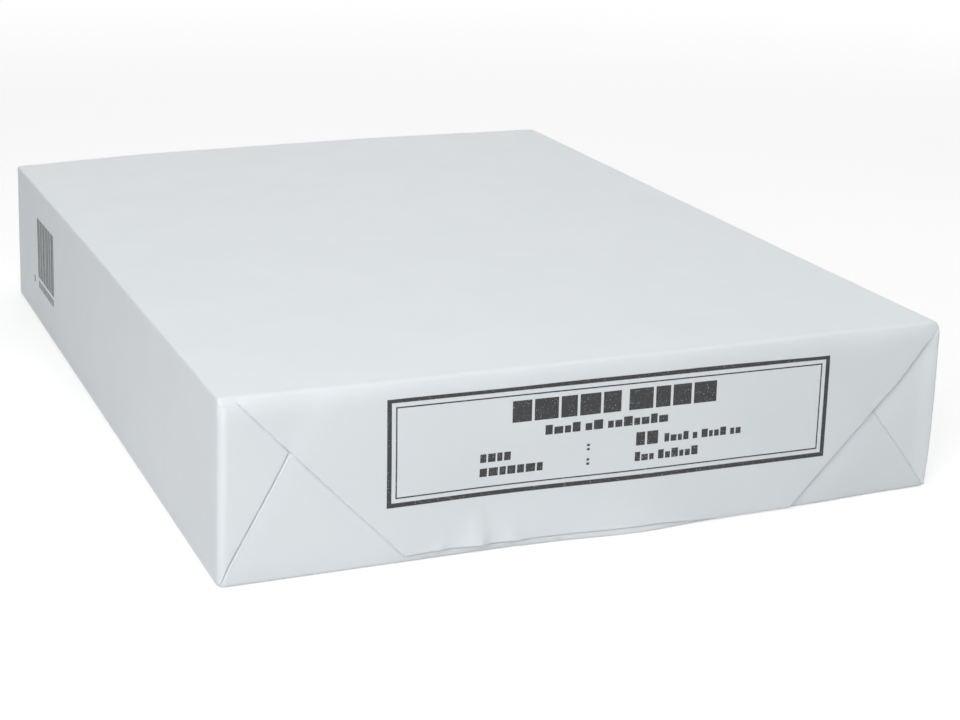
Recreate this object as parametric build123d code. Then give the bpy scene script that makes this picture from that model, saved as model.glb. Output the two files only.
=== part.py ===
from build123d import *

import os
from math import radians, tan

# A sealed ream of A4 copier paper: a stack of sheets in one glued paper wrapper. The wrapper
# is a tube lapped along the underside, and each end is closed by four folds: the two sides are
# tucked in first, then the bottom flap comes up, and the top flap comes down over it. The pack
# can't be seen into, so it is one solid, with the folds as thin steps on its two ends.
#
# Frame: origin at the middle of the underside, +Z up, the sheets' length along Y, with the
# end that carries the label facing -Y. Lengths are in millimetres and angles in degrees.

# Driving dimensions: the sheets
SHEET_WIDTH = 210.0
SHEET_LENGTH = 297.0
SHEET_COUNT = 500
SHEET_THICKNESS = 0.1

# Driving dimensions: the wrapper
WRAP_THICKNESS = 0.12
SIDE_SLACK = 0.38  # air between the stack and the wrapper, at each side
HEIGHT_SLACK = 0.24  # the same for top and bottom together
LONG_EDGE_RADIUS = 0.8  # the four edges along Y
END_EDGE_RADIUS = 1.8  # the edges along X, where the flaps turn over the ends
UPRIGHT_EDGE_RADIUS = 2.5  # the edges along Z, where the sides turn in

# Driving dimensions: the end folds, with left and right as seen from outside each end
FLAP_LAYERS = 2  # a flap is doubled along its slanting edges, which are folds
TOP_FLAP_SLOPES = (46.8, 47.6)  # of the slanting left and right edges
TOP_FLAP_INSETS = (4.0, 0.0)  # from the top corners in to where those edges start
BOTTOM_FLAP_SLOPES = (61.5, 51.0)  # the same, with edges that start at the bottom corners
BOTTOM_FLAP_REACH = 38.0  # how far up the end the bottom flap comes
CUT_EDGE_RISE = 2.0  # the top flap's cut edge stops this far above the underside

# Driving dimensions: the lap seam along the underside
SEAM_OFFSET = 23.1  # from the middle of the width to the outer layer's free edge, towards -X
SEAM_RAMP = 8.0  # width over which the inner layer comes down to the outer one's level

# Worked out from the sizes above
WIDTH = SHEET_WIDTH + 2 * (WRAP_THICKNESS + SIDE_SLACK)
LAYERS_IN_HEIGHT = 3  # one on top and two at the lap seam
HEIGHT = SHEET_COUNT * SHEET_THICKNESS + LAYERS_IN_HEIGHT * WRAP_THICKNESS + HEIGHT_SLACK
FLAP_STEP = FLAP_LAYERS * WRAP_THICKNESS
TUCK_LEVEL = SHEET_LENGTH / 2 + WRAP_THICKNESS  # from the middle of the length
BOTTOM_FLAP_LEVEL = TUCK_LEVEL + FLAP_STEP
TOP_FLAP_LEVEL = BOTTOM_FLAP_LEVEL + FLAP_STEP
FLAP_ROOT = TUCK_LEVEL - END_EDGE_RADIUS - UPRIGHT_EDGE_RADIUS  # clear of all the rounding


def wrapped_block(level):
    """The block that the wrapper makes with its ends at -level and +level: each set of four
    parallel edges has its own rounding, as paper turns over a stack's long and cut edges."""
    front = Plane.XZ * RectangleRounded(WIDTH, HEIGHT, LONG_EDGE_RADIUS)
    side = Plane.YZ * RectangleRounded(2 * level, HEIGHT, END_EDGE_RADIUS)
    top = Plane.XY * RectangleRounded(WIDTH, 2 * level, UPRIGHT_EDGE_RADIUS)
    block = extrude(front, level, both=True)
    block &= extrude(side, WIDTH / 2, both=True)
    block &= extrude(top, HEIGHT / 2, both=True)
    return Pos(0, 0, HEIGHT / 2) * block


def run(rise, slope):
    """How far inwards an edge at this slope goes while it rises or falls by this much."""
    return rise / tan(radians(slope))


def top_flap_outline():
    left, right = TOP_FLAP_SLOPES
    left_start = -WIDTH / 2 + TOP_FLAP_INSETS[0]
    right_start = WIDTH / 2 - TOP_FLAP_INSETS[1]
    fall = HEIGHT - CUT_EDGE_RISE
    return [
        (left_start, HEIGHT),
        (right_start, HEIGHT),
        (right_start - run(fall, right), CUT_EDGE_RISE),
        (left_start + run(fall, left), CUT_EDGE_RISE),
    ]


def bottom_flap_outline():
    left, right = BOTTOM_FLAP_SLOPES
    return [
        (-WIDTH / 2, 0),
        (WIDTH / 2, 0),
        (WIDTH / 2 - run(BOTTOM_FLAP_REACH, right), BOTTOM_FLAP_REACH),
        (-WIDTH / 2 + run(BOTTOM_FLAP_REACH, left), BOTTOM_FLAP_REACH),
    ]


def flap(outline, level):
    """One folded flap as it lies on the -Y end, outlined in X and Z, with its face at -level.
    It is cut from the rounded block, so it turns over the end's edges as the paper does."""
    face = Plane.XZ * make_face(Polyline(*outline, close=True))
    column = extrude(face, level) - extrude(face, FLAP_ROOT)
    return column & wrapped_block(level)


def end_folds():
    return flap(bottom_flap_outline(), BOTTOM_FLAP_LEVEL) + flap(top_flap_outline(), TOP_FLAP_LEVEL)


def seam_step():
    """The shallow wedge of air beside the lap's free edge, where one layer lies, not two."""
    free_edge = -SEAM_OFFSET
    corners = [(free_edge, 0), (free_edge, WRAP_THICKNESS), (free_edge - SEAM_RAMP, 0)]
    face = Plane.XZ * make_face(Polyline(*corners, close=True))
    return extrude(face, TUCK_LEVEL - END_EDGE_RADIUS, both=True)


def wrapped_ream():
    folds = end_folds()
    far_folds = folds.rotate(Axis.Z, 180)
    return wrapped_block(TUCK_LEVEL) + folds + far_folds - seam_step()


os.makedirs("parts", exist_ok=True)
ream = wrapped_ream()
ream.label = "wrapped_ream"
export_step(ream, "parts/wrapped_ream.step")
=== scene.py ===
"""The looks of a sealed ream of A4 copier paper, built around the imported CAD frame.

The wrapper is one skin: a fine mesh laid out on the sharp block, with extra lines of vertices
along its folds, then moved to where the paper lies. Print is thin ink laid on that skin.
Lengths are millimetres in the row frame until a mesh is made, and metres from then on.
"""

from math import cos, radians, sin, tan

import bpy
import numpy as np
from mathutils import Matrix, Vector, noise
from mathutils.geometry import delaunay_2d_cdt


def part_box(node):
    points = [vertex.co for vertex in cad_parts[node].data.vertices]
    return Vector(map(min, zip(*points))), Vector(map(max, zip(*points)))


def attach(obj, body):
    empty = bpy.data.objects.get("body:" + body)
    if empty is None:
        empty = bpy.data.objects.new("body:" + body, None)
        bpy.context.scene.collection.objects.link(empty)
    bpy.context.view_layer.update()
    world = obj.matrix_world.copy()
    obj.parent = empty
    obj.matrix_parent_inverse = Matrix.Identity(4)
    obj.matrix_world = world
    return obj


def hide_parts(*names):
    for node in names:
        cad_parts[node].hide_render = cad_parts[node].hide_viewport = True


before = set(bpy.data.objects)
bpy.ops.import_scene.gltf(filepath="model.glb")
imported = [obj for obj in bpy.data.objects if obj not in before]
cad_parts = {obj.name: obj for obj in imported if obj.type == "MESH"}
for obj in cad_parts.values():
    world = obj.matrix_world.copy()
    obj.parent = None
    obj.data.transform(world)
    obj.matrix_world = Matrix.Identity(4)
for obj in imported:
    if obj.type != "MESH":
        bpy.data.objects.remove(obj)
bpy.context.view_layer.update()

MM = 0.001
NODE = "wrapped_ream"
LOW, HIGH = (np.array(corner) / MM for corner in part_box(NODE))
WIDTH, LENGTH, HEIGHT = HIGH - LOW
HALF_WIDTH = WIDTH / 2

# The end folds, as seen from outside an end: u runs to the right from the middle, z up
TOP_FLAP_RISE = 0.9  # the outermost flap's face above the tucks
TUCK_LEVEL = LENGTH / 2 - TOP_FLAP_RISE  # from the middle of the length to the tucks
BOTTOM_FLAP_RISE = 0.3
LOOSE_FLAP_RISE = 0.5  # the top flap where it lies on a tuck alone
BOTTOM_FLAP_SLOPES = (61.5, 53.0)
TOP_LEFT_SLOPE = 46.8
TOP_LEFT_INSET = 4.0
TOP_RIGHT_KNEE = (12.9, 33.9)  # in from the right edge, and up
TOP_RIGHT_FOOT = 46.0
CUT_EDGE = ((-56.0, 2.1), (-46.0, 2.6), (-22.0, 2.3), (18.0, 2.1), (40.0, 0.2), (60.0, 0.0))
NOTCH = -23.1  # where the underside's lap seam comes up the bottom flap
WALL = 0.08  # across a fold's steep side
LIP = 0.2  # across its rounded top
WALL_SHARE = 0.6  # how much of the fold's step its steep side is
CREVICE = (0.45, 0.28)  # how far out the slot beside a fold starts, and reaches its depth
CREASE_OFFSETS = (-3.2, -1.7, -0.9, -0.45, -0.28, -WALL, 0.0, 0.04, 0.1, LIP, 0.4, 0.8, 1.7)

# How the flaps lie over one another
NOTCH_STEP = 0.3
NOTCH_WIDTH = 0.5
NOTCH_HEIGHT = 5
BOTTOM_EDGE_SHARE = 0.35  # how much of its rise the bottom flap has at its very edge
BOTTOM_SWELL = 4.5  # how far in it has all of it
LOW_CORNER = 5  # the flap is pressed flat this near a bottom corner
HIGH_CORNER = 6
HIGH_CORNER_SHARE = 0.25
OVERLAP_RAMP = 7  # where the top flap climbs onto the bottom one
OVERLAP_START = 0.4

# Hollows in the paper beside the folds, as depth and reach
BOTTOM_SLOT = 0.75
TOP_SLOT = 0.6
LEFT_HOLLOW = (0.45, 2.4)
RIGHT_HOLLOW = (1.1, 4.0)
RIGHT_HOLLOW_ON_FLAP = (0.6, 3.5)
HOLLOW_RUN = 9  # they have their full depth this far below the top
UPRIGHT_SWELL = (0.6, 6)  # the right tuck stands out beside its upright edge

# What only the label end has, each as its rise, then its places and reaches
SLACK_EDGE = (2.3, 12, 19, 7.0)  # rise, middle, half width, height it dies away over
RIGHT_FALL = (-1.9, 58, 40, 14.0)  # rise, start, run, height
DENT = (-1.0, (-30, 15), (28, 10))
CRUMPLE = (0.8, (-46.5, 2.9), (1.1, 0.8))
PLEATS = (  # foot, tip, reach to the left and right, rise
    ((-33.5, 2.0), (-35.0, 13.5), 8.5, 1.2, 1.25),
    ((-23.6, 2.0), (-26.0, 9.0), 6.0, 1.0, 0.85),
)
PLEAT_TIP = 0.3  # half its width where it runs out

# The whole pack's small departures from a true block
RELIEF_RUN = 12  # how far in from the ends their relief dies away
LEAN_AT_FLOOR = 0.95  # the left side stands out by this at the floor
LEAN_LOSS = 1.35  # and by this much less at the top
RIGHT_SHIFT = 1.0
SIDE_REACH = 30  # how far in from a side its shift is felt
CROWN_RISE = 1.3
CROWN_SPAN = 0.72  # of a half wave, over the width
CROWN_RAMP = (1.3, -0.25)  # along the length, from the front
SAG = (0.9, 0.16)  # of the back left, and its share of the width
TOP_RIPPLE = (0.16, 70, 11.3)  # height, lump, seed
SIDE_RIPPLE = (0.108, 26, 5.1)
SIDE_RIPPLE_REACH = 20
EDGE_WANDER = (0.3, 34, 3.7)  # how unevenly the top end edges are rounded, lump, seed

# Rounding of the block's edges, as inset from one face and from the other
LONG_EDGE = (0.8, 0.8)
LEFT_UPRIGHT = (2.5, 2.5)
RIGHT_UPRIGHT = (0.6, 0.6)
TOP_END_EDGE = (2.6, 6.0)
BOTTOM_END_EDGE = (1.0, 1.2)


def smooth(t):
    """0 below 0, 1 above 1, and an even S between."""
    t = np.clip(t, 0, 1)
    return t * t * (3 - 2 * t)


def mound(distance, reach):
    return np.exp(-((distance / reach) ** 2))


def ripple(x, y, z, scale, seed):
    """Smooth noise from about -1 to 1 whose lumps are this many millimetres apart."""
    places = np.stack([x, y, z], axis=1) / scale + seed
    return np.array([noise.noise(place) for place in places])


# ---------------------------------------------------------------- the end folds


def bottom_flap_distance(u, z):
    """How far inside the bottom flap's slanting edges a place is; negative is outside."""
    left, right = (radians(slope) for slope in BOTTOM_FLAP_SLOPES)
    from_left = (u + HALF_WIDTH - z / tan(left)) * sin(left)
    from_right = (HALF_WIDTH - u - z / tan(right)) * sin(right)
    return from_left, from_right


def drop(z):
    """How far below the top a place on the end comes to lie once the top edge is rounded."""
    depth = TOP_END_EDGE[1]
    turn = np.pi / 4 * (1 + np.clip((HEIGHT - z) / depth, 0, 1))
    return np.where(HEIGHT - z < depth, depth * (1 - np.cos(turn)), HEIGHT - z)


def top_left_edge(z):
    return -HALF_WIDTH + TOP_LEFT_INSET + drop(z) / tan(radians(TOP_LEFT_SLOPE))


def top_right_edge(z):
    inset, knee = TOP_RIGHT_KNEE
    return HALF_WIDTH - np.interp(z, [0, knee, HEIGHT], [TOP_RIGHT_FOOT, inset, 0])


def cut_edge(u):
    return np.interp(u, *zip(*CUT_EDGE))


def top_flap_distance(u, z):
    slope = sin(radians(TOP_LEFT_SLOPE))
    from_left = (u - top_left_edge(z)) * slope
    from_right = (top_right_edge(z) - u) * slope
    from_cut = z - cut_edge(u)
    return from_left, from_right, from_cut


def fold_step(distance):
    """A folded edge in section: 0 outside, a steep side, and a rounded top up to 1 inside."""
    side = np.clip(1 + distance / WALL, 0, 1)
    lip = np.clip(distance / LIP, 0, 1)
    top = WALL_SHARE + (1 - WALL_SHARE) * np.sqrt(1 - (1 - lip) ** 2)
    return np.where(distance < 0, WALL_SHARE * side, top)


def fold_foot(distance, reach):
    """1 at the foot of a fold's steep side, dying away outside it."""
    return np.where(distance < 0, np.exp((distance + WALL) / reach), 0)


def crevice(distance):
    """1 in the narrow dark slot just outside a fold's edge, where the paper bends under."""
    start, full = CREVICE
    return np.where(distance < 0, np.clip((distance + start) / (start - full), 0, 1), 0)


def pucker(u, z, foot, tip, left_reach, right_reach, rise):
    """A pinched pleat that runs up from the cut edge: a broad left slope and a steep right one."""
    along = np.clip((z - foot[1]) / (tip[1] - foot[1]), 0, 1)
    spine = foot[0] + (tip[0] - foot[0]) * along
    across = u - spine
    reach = np.where(across < 0, left_reach, right_reach) * (1 - along) + PLEAT_TIP
    return rise * (1 - along) * np.clip(1 - np.abs(across) / reach, 0, 1)


def bulge(u, z, shape):
    """A rounded rise, or a dent if its rise is below zero."""
    rise, (middle_u, middle_z), (reach_u, reach_z) = shape
    return rise * mound(u - middle_u, reach_u) * mound(z - middle_z, reach_z)


def front_details(u, z, on_top_flap):
    """What only the label end has: the slack lower edge, and the pinches where it was glued."""
    rise, middle, reach, height = SLACK_EDGE
    slack = rise * mound(u - middle, reach) * np.exp(-z / height)
    rise, start, run, height = RIGHT_FALL
    right_fall = rise * smooth((u - start) / run) * np.exp(-z / height)
    pinches = sum(pucker(u, z, *pleat) for pleat in PLEATS) + bulge(u, z, CRUMPLE)
    return slack + right_fall + bulge(u, z, DENT) + pinches * on_top_flap


def flap_rises(u, z, bottom):
    """How far the bottom and the top flap stand out, each where it lies."""
    low_corner = np.minimum(np.hypot(u + HALF_WIDTH, z), np.hypot(HALF_WIDTH - u, z))
    high_corner = np.hypot(HALF_WIDTH - u, HEIGHT - z)
    notch = NOTCH_STEP * smooth((u - NOTCH) / NOTCH_WIDTH + 0.5) - NOTCH_STEP
    bottom_rise = (BOTTOM_FLAP_RISE + notch * smooth(1 - z / NOTCH_HEIGHT)) * smooth(low_corner / LOW_CORNER)
    swell = BOTTOM_EDGE_SHARE + (1 - BOTTOM_EDGE_SHARE) * smooth(bottom / BOTTOM_SWELL)
    over_bottom = smooth(bottom / OVERLAP_RAMP + OVERLAP_START)
    top_rise = LOOSE_FLAP_RISE + (TOP_FLAP_RISE - LOOSE_FLAP_RISE) * over_bottom
    return bottom_rise * swell, top_rise * smooth(HIGH_CORNER_SHARE + high_corner / HIGH_CORNER)


def hollow(distance, shape):
    """How deep the paper lies in at this distance from a fold."""
    depth, reach = shape
    return depth * fold_foot(distance, reach)


def end_relief(u, z, front):
    """How far an end's surface stands out from the level of its tucks."""
    bottom = np.minimum(*bottom_flap_distance(u, z))
    top_left, top_right, top_cut = top_flap_distance(u, z)
    top = np.minimum.reduce([top_left, top_right, top_cut])
    bottom_rise, top_rise = flap_rises(u, z, bottom)
    on_bottom = fold_step(bottom)
    on_top = fold_step(top)
    on_tuck = 1 - on_bottom

    below = bottom_rise * on_bottom - BOTTOM_SLOT * crevice(bottom) - TOP_SLOT * crevice(top)
    hollows = hollow(top_left, LEFT_HOLLOW) + hollow(top_right, RIGHT_HOLLOW)
    below -= on_tuck * hollows * smooth((HEIGHT - z) / HOLLOW_RUN)
    below -= on_bottom * hollow(top_right, RIGHT_HOLLOW_ON_FLAP)
    swell, reach = UPRIGHT_SWELL
    below += on_tuck * swell * smooth(1 - (HALF_WIDTH - u) / reach)
    relief = below + on_top * (top_rise - below)
    return relief + np.where(front, front_details(u, z, on_top), 0)


# ---------------------------------------------------------------- the block's shape


def rounded(first, second, first_inset, second_inset):
    """Moves places near an edge onto its rounding. Each place is given by how far it lies
    inside the two faces that meet there, and comes back the same way."""
    near_first = 1 - first / first_inset
    near_second = 1 - second / second_inset
    in_corner = (near_first > 0) & (near_second > 0)
    reach = np.where(in_corner, np.maximum(near_first, near_second), 1)
    turn = np.pi / 4 * (1 + (near_first - near_second) / reach)
    new_first = first_inset * (1 - reach * np.sin(turn))
    new_second = second_inset * (1 - reach * np.cos(turn))
    return np.where(in_corner, new_first, first), np.where(in_corner, new_second, second)


def shaped(x, y, z):
    """From places on the sharp block to where the wrapper's paper is."""
    front = y < 0
    left = x < 0
    upper = z > HEIGHT / 2
    u = np.where(front, x, -x)
    relief = end_relief(u, z, front) * smooth(1 - (TUCK_LEVEL - np.abs(y)) / RELIEF_RUN)
    unevenness, lump, seed = EDGE_WANDER
    wander = 1 + unevenness * ripple(x, np.sign(y), np.zeros_like(x), lump, seed)

    from_side = HALF_WIDTH - np.abs(x)
    from_end = TUCK_LEVEL - np.abs(y)
    from_face = np.where(upper, HEIGHT - z, z)
    from_side, from_face = rounded(from_side, from_face, *LONG_EDGE)
    upright = np.where(left, LEFT_UPRIGHT[0], RIGHT_UPRIGHT[0])
    from_side, from_end = rounded(from_side, from_end, upright, upright)
    end_inset = np.where(upper, TOP_END_EDGE[0] * wander, BOTTOM_END_EDGE[0])
    face_inset = np.where(upper, TOP_END_EDGE[1] * wander, BOTTOM_END_EDGE[1])
    from_end, from_face = rounded(from_end, from_face, end_inset, face_inset)

    new_x = np.where(left, -1, 1) * (HALF_WIDTH - from_side)
    new_y = np.where(front, -1, 1) * (TUCK_LEVEL - from_end + relief)
    new_z = np.where(upper, HEIGHT - from_face, from_face)
    return slackened(new_x, new_y, new_z)


def crowned(x, y):
    """How far the top stands above its true height: crowned, sagging at the back left, and rippled."""
    across = (x + HALF_WIDTH) / WIDTH
    along = (y + LENGTH / 2) / LENGTH
    gain, start = CROWN_RAMP
    crown = CROWN_RISE * np.sin(np.pi * np.clip(across * CROWN_SPAN, 0, 1)) * smooth(along * gain + start)
    depth, reach = SAG
    crown -= depth * mound(across, reach) * smooth(along * 2 - 1)
    height, lump, seed = TOP_RIPPLE
    return crown + height * ripple(x, y, np.zeros_like(x), lump, seed) * smooth(along * 3)


def slackened(x, y, z):
    """The whole pack's small departures from a true block."""
    up = z / HEIGHT
    lean = LEAN_AT_FLOOR - LEAN_LOSS * up
    x = x - lean * smooth(1 - (x + HALF_WIDTH) / SIDE_REACH)
    x = x + RIGHT_SHIFT * smooth(1 - (HALF_WIDTH - x) / SIDE_REACH)
    z = z * (1 + crowned(x, y) / HEIGHT)
    height, lump, seed = SIDE_RIPPLE
    by_side = smooth((np.abs(x) - HALF_WIDTH + SIDE_RIPPLE_REACH) / SIDE_RIPPLE_REACH)
    wave = height * ripple(y, z, np.sign(x), lump, seed) * smooth(up * 2) * by_side
    return x + wave * np.sign(x), y, z


# ---------------------------------------------------------------- laying out the mesh


def graded(low, high, step, fine):
    """Places from low to high, close together by both ends and about a step apart between."""
    middle = np.linspace(low + fine[-1], high - fine[-1], round((high - low) / step))
    near = np.array(fine[:-1])
    return np.concatenate([low + near, middle, high - near[::-1]])


FINE = (0, 0.1, 0.22, 0.4, 0.62, 0.85, 1.2, 1.6, 2.1, 2.7, 3.6, 4.8, 6.2)
ACROSS_STEP = 2.1
ALONG_STEP = 2.4
UP_STEP = 1.9
TOO_CLOSE = 0.12
EDGE_START = -HALF_WIDTH + TOP_LEFT_INSET
STARTS = np.array([EDGE_START + offset / sin(radians(TOP_LEFT_SLOPE)) for offset in CREASE_OFFSETS[2:-1]])
SEAM = np.array([NOTCH - 8, NOTCH - 0.25, NOTCH, NOTCH + 0.25])

# How near the creases' lines may come to an end's rim, and how far they run on under a flap
SIDE_MARGIN = 0.25
FLOOR_MARGIN = 0.2
TOP_MARGIN = 0.1
BOTTOM_FLAP_MARGIN = 0.12
CUT_OVERRUN = 0.3
DIAGONAL_OVERRUN = 0.4
CREASE_HEIGHTS = (0.25, HEIGHT - 0.15, 52)  # first, last and how many
CUT_STATIONS = 90
CUT_SHARE = 0.55  # the cut edge's lines lie this much closer together
COVERED = 0.5  # a crease this far under the top flap isn't followed

# The grid keeps this far from the creases, and less by the rim
GRID_CLEARANCE = 1.9
RIM_CLEARANCE = 0.45
RIM_REACH = 2.5
FLOOR_REACH = 1.0


def merged(values, added, clearance):
    """The added places, with those of the values that aren't too close to one of them."""
    kept = [v for v in values if np.min(np.abs(added - v)) > clearance or v in (values[0], values[-1])]
    return np.array(sorted([*kept, *added]))


XS = graded(-HALF_WIDTH, HALF_WIDTH, ACROSS_STEP, FINE)
XS = merged(XS, np.concatenate([STARTS, -STARTS]), TOO_CLOSE)
XS = merged(XS, np.concatenate([SEAM, -SEAM]), TOO_CLOSE)
YS = graded(-TUCK_LEVEL, TUCK_LEVEL, ALONG_STEP, FINE)
ZS = graded(0, HEIGHT, UP_STEP, FINE)


def sheet(columns, rows, place):
    """A grid of quads, as its corners and faces: place turns a column and row into a corner."""
    across, up = np.meshgrid(columns, rows)
    corners = np.stack(place(across.ravel(), up.ravel()), axis=1)
    count = len(columns)
    faces = []
    for row in range(len(rows) - 1):
        for column in range(count - 1):
            first = row * count + column
            faces.append((first, first + 1, first + count + 1, first + count))
    return corners, faces


def crease_lines():
    """The folds' edges on an end, each as a function that gives a shifted line of places."""
    left, right = (radians(slope) for slope in BOTTOM_FLAP_SLOPES)
    normal = sin(radians(TOP_LEFT_SLOPE))
    heights = np.linspace(*CREASE_HEIGHTS)
    widths = np.linspace(top_left_edge(2.0), top_right_edge(0.5), CUT_STATIONS)
    return [
        lambda shift: (top_left_edge(heights) + shift / normal, heights),
        lambda shift: (top_right_edge(heights) - shift / normal, heights),
        lambda shift: (heights / tan(left) - HALF_WIDTH + shift / sin(left), heights),
        lambda shift: (HALF_WIDTH - heights / tan(right) - shift / sin(right), heights),
        lambda shift: (widths, cut_edge(widths) + shift * CUT_SHARE),
    ]


def crease_distance(u, z):
    """How near a place is to the closest crease that shows there."""
    bottom = np.minimum(*bottom_flap_distance(u, z))
    top_left, top_right, top_cut = top_flap_distance(u, z)
    top = np.minimum.reduce([top_left, top_right, top_cut])
    return np.minimum(np.where(top > COVERED, np.inf, np.abs(bottom)), np.abs(top))


def end_mesh():
    """One end's places (u, z) and triangles: the panels' own grid, with lines along the creases."""
    points, edges = [], []

    def add_line(us, zs, closed=False):
        start = len(points)
        points.extend(zip(us, zs))
        edges.extend((i, i + 1) for i in range(start, len(points) - 1))
        if closed:
            edges.append((len(points) - 1, start))

    rim = [(u, 0.0) for u in XS[:-1]] + [(HALF_WIDTH, z) for z in ZS[:-1]]
    rim += [(u, HEIGHT) for u in XS[:0:-1]] + [(-HALF_WIDTH, z) for z in ZS[:0:-1]]
    add_line(*zip(*rim), closed=True)
    rim_count = len(points)
    # Creases 0 and 1 are the top flap's sides, 2 and 3 the bottom flap's, and 4 is the cut edge
    for crease, line in enumerate(crease_lines()):
        for shift in CREASE_OFFSETS:
            us, zs = line(shift)
            inside = np.abs(us) < HALF_WIDTH - SIDE_MARGIN
            inside &= (zs > FLOOR_MARGIN) & (zs < HEIGHT - TOP_MARGIN)
            top_left, top_right, top_cut = top_flap_distance(us, zs)
            top = np.minimum.reduce([top_left, top_right, top_cut])
            if crease in (2, 3):
                inside &= top < -BOTTOM_FLAP_MARGIN
            elif crease == 4:
                inside &= np.minimum(top_left, top_right) > -CUT_OVERRUN
            else:
                inside &= top_cut > -DIAGONAL_OVERRUN
            if inside.sum() > 1:
                add_line(us[inside], zs[inside])
    grid_u, grid_z = (a.ravel() for a in np.meshgrid(XS[1:-1], ZS[1:-1]))
    to_crease = crease_distance(grid_u, grid_z)
    near_rim = (HEIGHT - grid_z < RIM_REACH) | (HALF_WIDTH - np.abs(grid_u) < RIM_REACH)
    near_rim |= grid_z < FLOOR_REACH
    clear = to_crease > np.where(near_rim, RIM_CLEARANCE, GRID_CLEARANCE)
    points.extend(zip(grid_u[clear], grid_z[clear]))
    result = delaunay_2d_cdt([Vector(p) for p in points], edges, [], 0, 1e-4)
    places = np.array([tuple(p) for p in result[0]])
    for index, sources in enumerate(result[3]):
        on_rim = [s for s in sources if s < rim_count]
        if on_rim:
            places[index] = points[on_rim[0]]
    return places, [tuple(face) for face in result[2]]


def joined(parts):
    """Several meshes, each as its corners and faces, made into one."""
    corners, faces, start = [], [], 0
    for part_corners, part_faces in parts:
        corners.append(part_corners)
        faces += [tuple(i + start for i in face) for face in part_faces]
        start += len(part_corners)
    return np.concatenate(corners), faces


def block_mesh():
    """The whole skin on the sharp block: four panels and two ends, with shared corners joined."""
    end_places, end_faces = end_mesh()
    u, z = end_places.T
    ends = [
        (np.stack([u, np.full_like(u, -TUCK_LEVEL), z], axis=1), end_faces),
        (np.stack([-u, np.full_like(u, TUCK_LEVEL), z], axis=1), end_faces),
    ]
    panels = [
        sheet(XS, YS, lambda a, b: (a, b, np.full_like(a, HEIGHT))),
        sheet(XS, YS[::-1], lambda a, b: (a, b, np.zeros_like(a))),
        sheet(YS, ZS[::-1], lambda a, b: (np.full_like(a, -HALF_WIDTH), a, b)),
        sheet(YS, ZS, lambda a, b: (np.full_like(a, HALF_WIDTH), a, b)),
    ]
    corners, faces = joined(ends + panels)
    _, first, shared = np.unique(np.round(corners, 4), axis=0, return_index=True, return_inverse=True)
    shared = shared.ravel()
    return corners[first], [tuple(shared[i] for i in face) for face in faces]


def add_mesh(name, corners, faces, material):
    """A smooth-shaded object from corners in millimetres."""
    mesh = bpy.data.meshes.new(name)
    mesh.from_pydata((np.asarray(corners) * MM).tolist(), [], faces)
    mesh.validate()
    mesh.shade_smooth()
    mesh.materials.append(material)
    piece = bpy.data.objects.new(name, mesh)
    bpy.context.scene.collection.objects.link(piece)
    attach(piece, "root")
    return piece


# ---------------------------------------------------------------- the print

INK_PROUD = 0.035
INK_SUNK = 0.05
INK_STEP = 1.5

LABEL_MIDDLE = (4.35, 30.75)
LABEL_SIZE = (131.1, 30.2)
LABEL_FALL = 0.0098  # how much its lines drop to the right, for each millimetre
THICK_LINE = 1.25
LINE_GAP = 1.15
THIN_LINE = 0.36

BLOCK_WIDTHS = (1.0, 1.25, 0.85, 1.1, 0.95, 1.3, 0.8)
BLOCK_TALL = (1, 0, 0, 1, 0, 1, 0, 0)

BAR_MODULE = 0.33
BAR_WIDTHS = (1, 2, 1, 1, 3, 2, 1)
BAR_SPACES = (1, 1, 2, 1, 3)
BARS_FROM_FRONT = (224.3, 255.2)
BARS_HEIGHTS = (17.2, 39.5)
NUMBER_HEIGHTS = (13.4, 16.0)
NUMBER_WIDTH = 1.5
NUMBER_COUNT = 12
NUMBER_INSETS = (1, 3)  # of the first and the last from the bars' ends
FIRST_NUMBER_OUT = 8.2

# Rows of blocks from the label's middle: left, right, foot, height of the low blocks, height of
# the tall ones, how many blocks are in each group, and the gap between two blocks
TITLE_ROW = (-30.6, 30.0, 5.0, 11.0, 11.0, (5, 4), 0.8)
SUBTITLE_ROW = (-21.0, 15.4, 0.6, 2.6, 3.3, (4, 2, 7), 0.5)
DETAIL_ROWS = (
    (-39.5, -30.8, -5.4, -3.0, -3.0, (4,), 0.5),
    (6.0, 12.6, -5.4, -1.6, -1.6, (2,), 0.7),
    (14.6, 38.2, -5.2, -3.4, -2.8, (4, 1, 4, 2), 0.45),
    (-39.5, -21.4, -9.5, -7.1, -7.1, (7,), 0.5),
    (5.8, 25.0, -9.9, -8.1, -7.3, (3, 6), 0.45),
)
DASH_ENDS = (-8.6, -7.8)
DASH_FEET = (-5.2, -4.0, -9.4, -8.2)
DASH_HEIGHT = 0.65
LOOP_STATIONS = 90  # on each side of a frame


def on_front(right, up, lift):
    """Places on the front's paper, this far out from it."""
    x, y, z = shaped(right, np.full_like(right, -TUCK_LEVEL), up)
    return np.stack([x, y - lift, z], axis=1)


def on_label(right, up, lift):
    """The same, from the label's middle and along its lines."""
    middle_right, middle_up = LABEL_MIDDLE
    return on_front(middle_right + right, middle_up + up - LABEL_FALL * right, lift)


def on_left_side(right, up, lift):
    """Places on the left side's paper, counted from its middle towards the front."""
    x, y, z = shaped(np.full_like(right, -HALF_WIDTH), -right, up)
    return np.stack([x - lift, y, z], axis=1)


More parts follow.
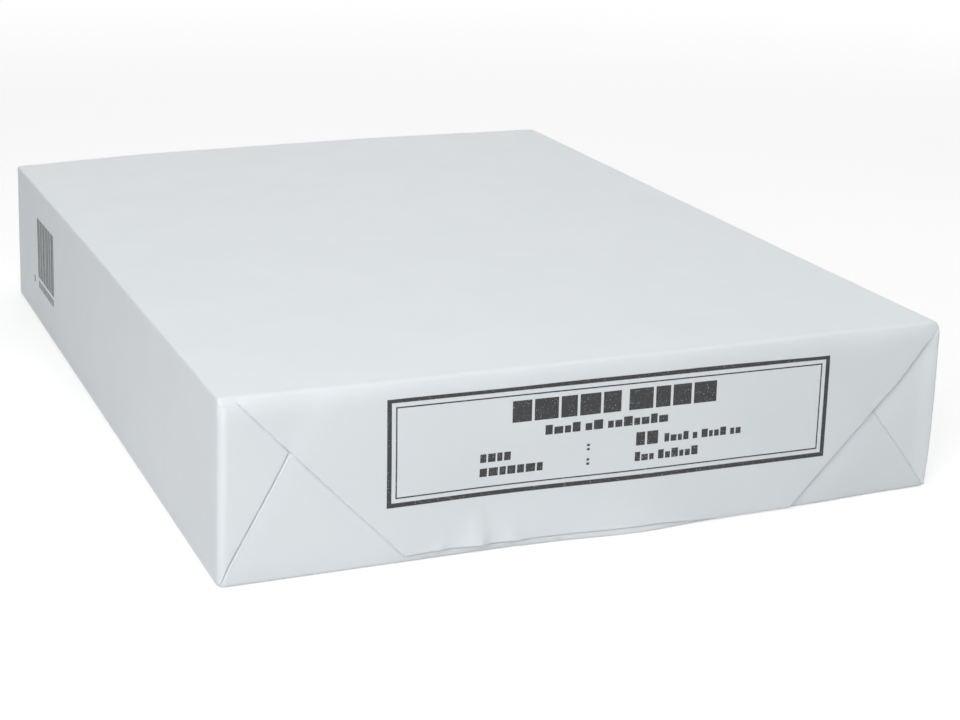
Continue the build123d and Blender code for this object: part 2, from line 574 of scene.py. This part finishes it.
def slip_faces(rows, columns, closed):
    """The faces of a slip of ink: a grid's top and underside, and the walls round its rims."""
    under = rows * columns
    index = np.arange(under).reshape(rows, columns)
    if closed:
        index = np.column_stack([index, index[:, 0]])
    faces = []
    for low, high in zip(index[:-1], index[1:]):
        for a, b, c, d in zip(low[:-1], low[1:], high[1:], high[:-1]):
            faces.append((a, b, c, d))
            faces.append((d + under, c + under, b + under, a + under))
    rims = [index[0], index[-1, ::-1]]
    if not closed:
        rims += [index[:, -1], index[::-1, 0]]
    for rim in rims:
        faces += [(b, a, a + under, b + under) for a, b in zip(rim[:-1], rim[1:])]
    return faces


def ink_slip(lay, right, up, closed=False):
    """A closed slip of ink over a grid of places, as its corners and faces."""
    over = lay(right.ravel(), up.ravel(), INK_PROUD)
    under = lay(right.ravel(), up.ravel(), -INK_SUNK)
    return np.concatenate([over, under]), slip_faces(*right.shape, closed)


def ink_block(lay, left, right, low, high):
    """A rectangle of ink, cut finely enough to follow the paper."""
    columns = np.linspace(left, right, 2 + int((right - left) / INK_STEP))
    rows = np.linspace(low, high, 2 + int((high - low) / INK_STEP))
    return ink_slip(lay, *np.meshgrid(columns, rows))


def ink_frame(lay, size, line):
    """A rectangle's outline, this wide within its outer size."""
    def loop(half_width, half_height):
        stations = np.linspace(-1, 1, LOOP_STATIONS)[:-1]
        ends = np.ones_like(stations)
        right = np.concatenate([stations, ends, -stations, -ends]) * half_width
        up = np.concatenate([-ends, stations, ends, -stations]) * half_height
        return right, up

    outer = loop(size[0] / 2, size[1] / 2)
    inner = loop(size[0] / 2 - line, size[1] / 2 - line)
    right, up = (np.stack(pair) for pair in zip(outer, inner))
    return ink_slip(lay, right, up, closed=True)


def words(left, right, low, middle, high, counts, gap):
    """Plain blocks in groups, as lettering looks from afar. Some reach only to the middle height."""
    total = sum(counts)
    widths = [BLOCK_WIDTHS[i % len(BLOCK_WIDTHS)] for i in range(total)]
    spaces = total - 1 + 2 * (len(counts) - 1)
    scale = (right - left - gap * spaces) / sum(widths)
    last_of_group = set(np.cumsum(counts) - 1)
    blocks, start = [], left
    for i, width in enumerate(widths):
        top = high if BLOCK_TALL[i % len(BLOCK_TALL)] else middle
        blocks.append(ink_block(on_label, start, start + width * scale, low, top))
        start += width * scale + gap * (3 if i in last_of_group else 1)
    return blocks


def bar_blocks():
    """Bars of uneven width that stand for no number."""
    front, back = BARS_FROM_FRONT
    start, stop = LENGTH / 2 - back, LENGTH / 2 - front
    blocks, i = [], 0
    while start < stop - 3 * BAR_MODULE:
        end = start + BAR_WIDTHS[i % len(BAR_WIDTHS)] * BAR_MODULE
        blocks.append(ink_block(on_left_side, start, end, *BARS_HEIGHTS))
        start = end + BAR_SPACES[i % len(BAR_SPACES)] * BAR_MODULE
        i += 1
    return blocks


def number_blocks():
    """The row of small marks under the bars, the first of them set apart."""
    front, back = BARS_FROM_FRONT
    first, last = NUMBER_INSETS
    starts = [LENGTH / 2 - back - FIRST_NUMBER_OUT]
    starts += list(np.linspace(LENGTH / 2 - back + first, LENGTH / 2 - front - last, NUMBER_COUNT))
    return [ink_block(on_left_side, start, start + NUMBER_WIDTH, *NUMBER_HEIGHTS) for start in starts]


def add_print(name, parts, material):
    """A crisp-edged piece of ink."""
    piece = add_mesh(name, *joined(parts), material)
    piece.data.set_sharp_from_angle(angle=radians(30))


def make_print():
    """A framed label on the front and a bar code on the left side, all of plain blocks."""
    ink = ink_material()
    inner = np.array(LABEL_SIZE) - 2 * (THICK_LINE + LINE_GAP)
    add_print("label_frame", [ink_frame(on_label, LABEL_SIZE, THICK_LINE)], ink)
    add_print("label_inner_line", [ink_frame(on_label, inner, THIN_LINE)], ink)
    add_print("label_title", words(*TITLE_ROW), ink)
    add_print("label_subtitle", words(*SUBTITLE_ROW), ink)
    details = [block for row in DETAIL_ROWS for block in words(*row)]
    details += [ink_block(on_label, *DASH_ENDS, foot, foot + DASH_HEIGHT) for foot in DASH_FEET]
    add_print("label_details", details, ink)
    add_print("code_bars", bar_blocks(), ink)
    add_print("code_marks", number_blocks(), ink)


# ---------------------------------------------------------------- materials


PAPER_PALE = (0.78, 0.82, 0.845, 1)
PAPER_DULL = (0.765, 0.806, 0.832, 1)
INK_DARK = (0.030, 0.031, 0.033, 1)
PAPER_SHEEN = (0.40, 0.50)  # its roughness varies between these
INK_SHEEN = (0.38, 0.50)
PAPER_IOR = 1.45
COCKLE_DEPTH = 0.035
FIBRE_DEPTH = 0.004
FIBRE_STRETCH = (1, 0.35, 1)
SPECKS = (0.66, 0.72)  # where the noise passes from ink to bare paper


class Nodes:
    """A material's or the world's nodes, with short calls to add and join them."""

    def __init__(self, owner):
        owner.use_nodes = True
        self.tree = owner.node_tree

    def add(self, kind, **values):
        node = self.tree.nodes.new(kind)
        for name, value in values.items():
            setattr(node, name, value)
        return node

    def join(self, source, target):
        self.tree.links.new(source, target)

    def place(self):
        return self.add("ShaderNodeTexCoord").outputs["Object"]

    def noise(self, lump, detail=2.0, stretch=(1, 1, 1)):
        """Soft noise whose lumps are about this many millimetres across."""
        mapping = self.add("ShaderNodeMapping")
        mapping.inputs["Scale"].default_value = stretch
        self.join(self.place(), mapping.inputs["Vector"])
        node = self.add("ShaderNodeTexNoise")
        node.inputs["Scale"].default_value = 1 / (lump * MM)
        node.inputs["Detail"].default_value = detail
        self.join(mapping.outputs["Vector"], node.inputs["Vector"])
        return node.outputs["Fac"]

    def spread(self, value, low, high, to_low, to_high):
        """Stretches a value's low to high onto another range."""
        node = self.add("ShaderNodeMapRange")
        for name, number in zip(("From Min", "From Max", "To Min", "To Max"), (low, high, to_low, to_high)):
            node.inputs[name].default_value = number
        self.join(value, node.inputs["Value"])
        return node.outputs["Result"]

    def blend(self, factor, first, second):
        """Passes from the first colour to the second as the factor rises."""
        node = self.add("ShaderNodeMix", data_type="RGBA")
        self.join(factor, node.inputs["Factor"])
        node.inputs[6].default_value = first
        node.inputs[7].default_value = second
        return node.outputs[2]

    def bump(self, height, depth, under=None):
        """Bump this many millimetres deep, over an earlier one if there is one."""
        node = self.add("ShaderNodeBump")
        node.inputs["Strength"].default_value = 1.0
        node.inputs["Distance"].default_value = depth * MM
        self.join(height, node.inputs["Height"])
        if under:
            self.join(under, node.inputs["Normal"])
        return node.outputs["Normal"]


def paper_colour(nodes):
    """Two whites, blotched into one another."""
    return nodes.blend(nodes.spread(nodes.noise(22, 4), 0.35, 0.65, 0, 1), PAPER_PALE, PAPER_DULL)


def paper_bump(nodes):
    """Shallow cockles, and much finer fibres over them."""
    cockle = nodes.bump(nodes.noise(9, 2), COCKLE_DEPTH)
    return nodes.bump(nodes.noise(0.45, 3, FIBRE_STRETCH), FIBRE_DEPTH, under=cockle)


def coated(name, colour, sheen_noise, sheen):
    """A material with this colour, an uneven sheen and the paper's relief, and its shader."""
    material = bpy.data.materials.new(name)
    nodes = Nodes(material)
    shader = nodes.tree.nodes["Principled BSDF"]
    roughness = nodes.spread(nodes.noise(*sheen_noise), 0.3, 0.7, *sheen)
    nodes.join(colour(nodes), shader.inputs["Base Color"])
    nodes.join(roughness, shader.inputs["Roughness"])
    nodes.join(paper_bump(nodes), shader.inputs["Normal"])
    return material, shader


def paper_material():
    """Coated wrapping paper: faintly mottled, a little cockled, with a soft sheen."""
    material, shader = coated("white_wrapper_paper", paper_colour, (3.5, 3), PAPER_SHEEN)
    shader.inputs["IOR"].default_value = PAPER_IOR
    return material


def ink_colour(nodes):
    """Near black, missing the paper in tiny specks."""
    return nodes.blend(nodes.spread(nodes.noise(0.30, 2), *SPECKS, 0, 1), INK_DARK, PAPER_PALE)


def ink_material():
    return coated("dark_print_ink", ink_colour, (1.2, 2), INK_SHEEN)[0]


# ---------------------------------------------------------------- the scene


def make_wrapper():
    """The skin of wrapping paper, in place of the block."""
    corners, faces = block_mesh()
    x, y, z = shaped(*corners.T)
    wrapper = add_mesh("wrapper", np.stack([x, y, z], axis=1), faces, paper_material())
    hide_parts(NODE)


CAMERA_LENS = 75.17  # with a sensor 36 wide
CAMERA_PLACE = (-222.67, -607.33, 211.26)
CAMERA_TURN = (0.3872, -0.3069, 0.0173)  # to the right, up, and about its own axis, in radians


def make_camera():
    """The photo's view."""
    data = bpy.data.cameras.new("camera")
    camera = bpy.data.objects.new("camera", data)
    bpy.context.scene.collection.objects.link(camera)
    bpy.context.scene.camera = camera
    data.sensor_width = 36
    data.lens = CAMERA_LENS
    yaw, pitch, roll = CAMERA_TURN
    forward = Vector((cos(pitch) * sin(yaw), cos(pitch) * cos(yaw), sin(pitch)))
    level = Vector((cos(yaw), -sin(yaw), 0))
    above = level.cross(forward)
    right = cos(roll) * level + sin(roll) * above
    up = -sin(roll) * level + cos(roll) * above
    turn = Matrix((right, up, -forward)).transposed().to_4x4()
    turn.translation = Vector(CAMERA_PLACE) * MM
    camera.matrix_world = turn
    data.clip_start = 0.01
    data.clip_end = 50


FLOOR_COLOUR = (0.70, 0.70, 0.70, 1)
FLOOR_GLOW = 0.48  # what the camera sees on top of the lit floor, so that it looks white
FLOOR_NEAR = 0.42  # metres from the middle, where the floor starts to fade to plain white
FLOOR_FAR = 1.0
AMBIENT = 0.04


def seen_directly(nodes):
    """1 for rays that show a background: those of the camera, and mirrored or clear ones."""
    path = nodes.add("ShaderNodeLightPath")
    total = path.outputs["Is Camera Ray"]
    for name in ("Is Glossy Ray", "Is Transmission Ray"):
        larger = nodes.add("ShaderNodeMath", operation="MAXIMUM")
        nodes.join(total, larger.inputs[0])
        nodes.join(path.outputs[name], larger.inputs[1])
        total = larger.outputs[0]
    return total


def near_floor(nodes, seen):
    """The floor that takes the shadow: lit, with a glow where it is seen."""
    lit = nodes.add("ShaderNodeBsdfDiffuse")
    lit.inputs["Color"].default_value = FLOOR_COLOUR
    strength = nodes.add("ShaderNodeMath", operation="MULTIPLY")
    strength.inputs[1].default_value = FLOOR_GLOW
    nodes.join(seen, strength.inputs[0])
    glow = nodes.add("ShaderNodeEmission")
    nodes.join(strength.outputs[0], glow.inputs["Strength"])
    both = nodes.add("ShaderNodeAddShader")
    nodes.join(lit.outputs[0], both.inputs[0])
    nodes.join(glow.outputs[0], both.inputs[1])
    return both.outputs[0]


def floor_material():
    """A pale matt floor that takes the shadow, and fades to plain white further out."""
    material = bpy.data.materials.new("floor")
    nodes = Nodes(material)
    nodes.tree.nodes.clear()
    seen = seen_directly(nodes)
    near = near_floor(nodes, seen)
    plain = nodes.add("ShaderNodeEmission")
    nodes.join(seen, plain.inputs["Strength"])
    distance = nodes.add("ShaderNodeVectorMath", operation="LENGTH")
    nodes.join(nodes.place(), distance.inputs[0])
    fade = nodes.add("ShaderNodeMapRange", interpolation_type="SMOOTHSTEP")
    fade.inputs["From Min"].default_value = FLOOR_NEAR
    fade.inputs["From Max"].default_value = FLOOR_FAR
    nodes.join(distance.outputs["Value"], fade.inputs["Value"])
    mix = nodes.add("ShaderNodeMixShader")
    nodes.join(fade.outputs["Result"], mix.inputs["Fac"])
    nodes.join(near, mix.inputs[1])
    nodes.join(plain.outputs[0], mix.inputs[2])
    output = nodes.add("ShaderNodeOutputMaterial")
    nodes.join(mix.outputs[0], output.inputs["Surface"])
    return material


def make_floor():
    bpy.ops.mesh.primitive_plane_add(size=12)
    floor = bpy.context.object
    floor.name = "floor"
    floor.data.materials.append(floor_material())


def make_world():
    """White where it is seen, and a dim even light on everything else."""
    world = bpy.data.worlds.new("world")
    nodes = Nodes(world)
    background = nodes.tree.nodes["Background"]
    background.inputs["Color"].default_value = (1, 1, 1, 1)
    strength = nodes.spread(seen_directly(nodes), 0, 1, AMBIENT, 1)
    nodes.join(strength, background.inputs["Strength"])
    bpy.context.scene.world = world


LAMPS = {
    "overhead": ((0.4, 0, 1.5), 1.5, 8.0),
    "behind": ((0, 1.0, 1.3), 1.2, 4.4),
    "behind_right": ((0.7, 0.9, 1.3), 1.2, 2.7),
    "front_left": ((-0.4, -0.9, 0.45), 0.7, 3.8),
    "left": ((-0.7, -0.6, 0.5), 0.7, 3.2),
    "high_left": ((-0.3, -0.6, 0.8), 0.7, 1.3),
}


def make_lamps():
    """Soft square lamps, each as its place, size and power, aimed at the object."""
    for name, (place, size, power) in LAMPS.items():
        light = bpy.data.lights.new(name, "AREA")
        light.size = size
        light.energy = power
        lamp = bpy.data.objects.new(name, light)
        lamp.location = place
        aim = Vector((0, 0, HEIGHT / 2 * MM)) - lamp.location
        lamp.rotation_euler = aim.to_track_quat("-Z", "Y").to_euler()
        lamp.visible_camera = False
        bpy.context.scene.collection.objects.link(lamp)


make_camera()
make_wrapper()
make_print()
make_floor()
make_world()
make_lamps()
bpy.context.scene.view_settings.view_transform = "Standard"
